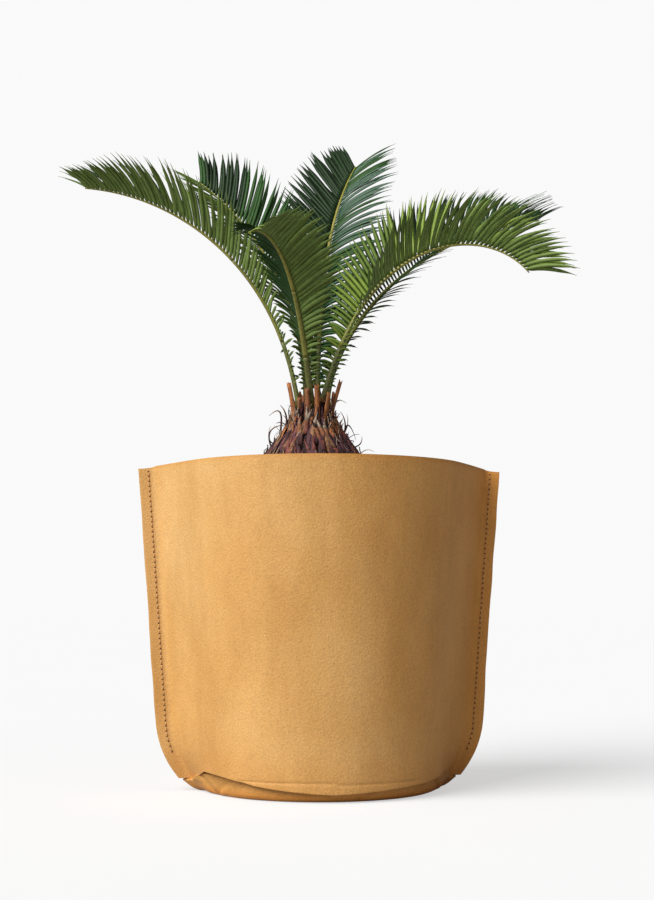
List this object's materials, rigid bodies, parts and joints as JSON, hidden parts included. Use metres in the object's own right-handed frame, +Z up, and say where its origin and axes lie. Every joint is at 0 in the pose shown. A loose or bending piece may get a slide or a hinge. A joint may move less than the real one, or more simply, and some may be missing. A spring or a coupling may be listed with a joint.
{
  "type": "potted sago palm",
  "caption": "Young sago palm with a shaggy trunk foot and six arching feather fronds, in a round sewn leather pot with upright side seams.",
  "frame": {"origin": "middle of the flat underside of the pot", "axes": "+Z up, +X along the line through the pot's two side seams, -Y towards the front"},
  "size_m": [0.4565, 0.2991, 0.5755],
  "materials": {
    "leather": "matt tan nubuck",
    "soil": "moist, granular",
    "trunk": "shaggy, fibrous",
    "frond": "semi-gloss leaf"
  },
  "bodies": {
    "root": {"pot_front_panel": "leather", "pot_back_panel": "leather", "pot_tray": "leather", "soil": "soil", "trunk": "trunk", "frond_front_inner": "frond", "frond_front_outer": "frond", "frond_right_inner": "frond", "frond_right_outer": "frond", "frond_left_inner": "frond", "frond_left_outer": "frond", "frond_back_inner": "frond", "frond_back_outer": "frond", "frond_back_left_inner": "frond", "frond_back_left_outer": "frond", "frond_back_right_inner": "frond", "frond_back_right_outer": "frond"}
  },
  "joints": []
}
